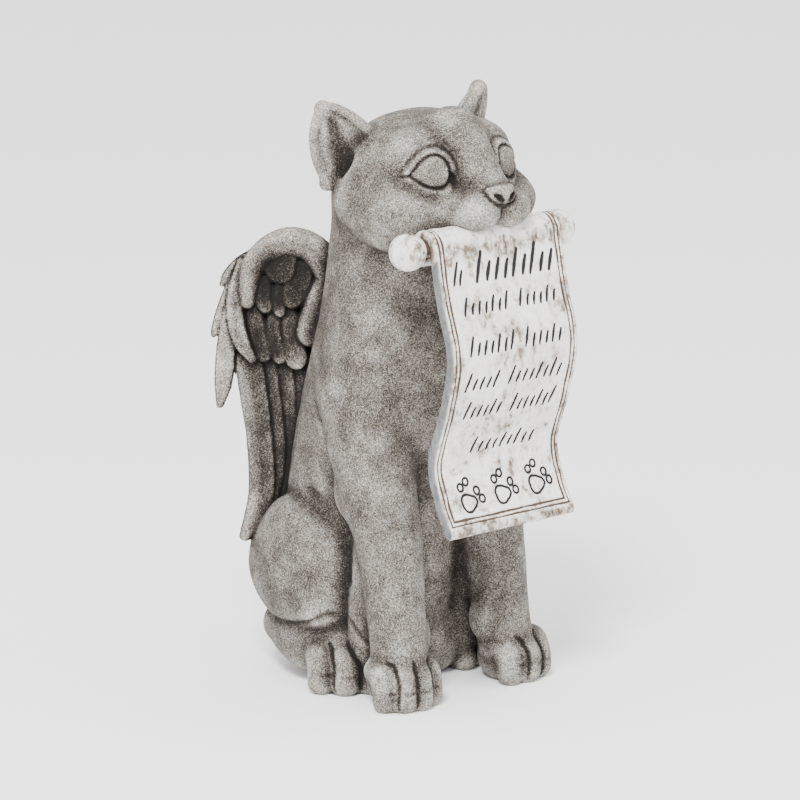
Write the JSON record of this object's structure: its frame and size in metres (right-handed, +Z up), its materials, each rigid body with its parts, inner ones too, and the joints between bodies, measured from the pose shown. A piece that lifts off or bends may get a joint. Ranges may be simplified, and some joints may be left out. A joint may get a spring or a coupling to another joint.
{
  "type": "cat garden statue",
  "caption": "Seated stone-look cat with folded wings, its tail beside it, holding a hanging scroll with carved rows in its mouth.",
  "frame": {"origin": "on the ground, on the plane between the cat's left and right sides, under its body", "axes": "+Z up, -Y the way the cat faces, +X to the cat's left"},
  "size_m": [0.1652, 0.1969, 0.3457],
  "materials": {
    "cat": "matt grey resin stone, rubbed lighter on its raised parts and dark in its creases",
    "scroll": "matt aged off-white paint with brown stains"
  },
  "bodies": {
    "root": {"cat": "cat", "scroll": "scroll"}
  },
  "joints": []
}
